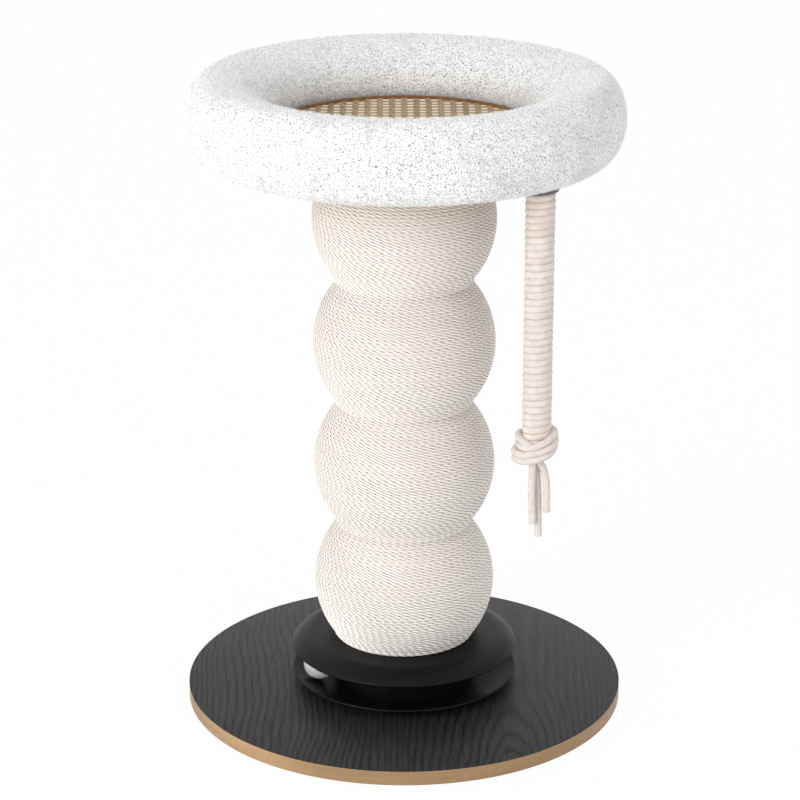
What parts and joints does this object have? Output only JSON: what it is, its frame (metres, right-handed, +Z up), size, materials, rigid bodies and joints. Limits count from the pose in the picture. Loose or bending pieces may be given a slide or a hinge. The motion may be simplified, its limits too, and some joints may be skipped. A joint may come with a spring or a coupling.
{
  "type": "cat scratching post",
  "caption": "Free-standing post of four rope-wound bulges on a round base with a ball track, a round plush bed on top and a hanging cord toy.",
  "frame": {"origin": "centre of the base's footprint, on the floor", "axes": "+Z up along the post, +X to the right and +Y away as seen from the front, where the hanging toy is at the right"},
  "size_m": [0.3999, 0.4, 0.5872],
  "materials": {
    "foot_rubber": "soft matt black",
    "backing_laminate": "plain satin black paper laminate",
    "fibreboard": "raw fibreboard",
    "dark_wood_laminate": "satin charcoal wood-grain laminate",
    "tan_edge_band": "satin tan edge band with fine grain lines",
    "zinc_steel": "bright zinc plate",
    "black_plastic": "satin black plastic",
    "ball_chrome": "mirror chrome",
    "plug_wood": "turned softwood",
    "kraft_tube": "spiral-wound kraft card",
    "moulded_pulp": "moulded paper pulp",
    "post_rope": "cream three-strand laid rope",
    "plywood": "sanded plywood",
    "ring_foam": "soft filling",
    "white_plush": "white short plush with a few dark fibres",
    "pad_foam": "flat foam pad",
    "woven_mat": "tan woven strips with pale cord between",
    "brown_binding": "brown bias tape",
    "grey_plastic": "matt dark grey moulding",
    "toy_cord": "beige soft cord"
  },
  "bodies": {
    "stand": {"foot_pads": "foot_rubber", "base_bottom_laminate": "backing_laminate", "base_core": "fibreboard", "base_top_laminate": "dark_wood_laminate", "base_edge_band": "tan_edge_band", "base_washer": "zinc_steel", "base_bolt": "zinc_steel", "track_lower_disc": "black_plastic", "track_hub": "black_plastic", "track_upper_disc": "black_plastic", "lower_plug": "plug_wood", "lower_insert": "zinc_steel", "post_tube": "kraft_tube", "upper_plug": "plug_wood", "upper_insert": "zinc_steel", "bulge_core_1": "moulded_pulp", "bulge_core_2": "moulded_pulp", "bulge_core_3": "moulded_pulp", "bulge_core_4": "moulded_pulp", "rope_wrap_1": "post_rope", "rope_wrap_2": "post_rope", "rope_wrap_3": "post_rope", "rope_wrap_4": "post_rope", "top_board": "plywood", "top_washer": "zinc_steel", "top_bolt": "zinc_steel", "ring_filling": "ring_foam", "ring_cover": "white_plush", "bed_pad": "pad_foam", "toy_cup": "grey_plastic", "toy_cup_screws": "zinc_steel", "toy_cup_pin": "zinc_steel"},
    "ball": {"track_ball": "ball_chrome"},
    "mat": {"bed_mat": "woven_mat", "mat_binding": "brown_binding"},
    "toy_link": {"toy_link": "zinc_steel"},
    "toy": {"toy_cap": "zinc_steel", "toy_cap_pin": "zinc_steel", "toy_core": "toy_cord", "toy_winding": "toy_cord", "toy_knot": "toy_cord", "toy_tail_1": "toy_cord", "toy_tail_2": "toy_cord", "toy_tail_3": "toy_cord"}
  },
  "joints": [
    {"name": "ball_orbit", "type": "hinge", "parent": "stand", "child": "ball", "pos_m": [0, 0, 0.03495], "axis": [0, 0, 1], "continuous": true},
    {"name": "mat_lift", "type": "slide", "parent": "stand", "child": "mat", "axis": [0, 0, 1], "range_m": [0, 0.08]},
    {"name": "toy_swing", "type": "hinge", "parent": "stand", "child": "toy_link", "pos_m": [0.11491, -0.09642, 0.51074], "axis": [0.6428, 0.766, 0], "range_deg": [-15, 9]},
    {"name": "toy_sway", "type": "hinge", "parent": "toy_link", "child": "toy", "pos_m": [0.11491, -0.09642, 0.50494], "axis": [0.766, -0.6428, 0], "range_deg": [-9, 9]}
  ]
}
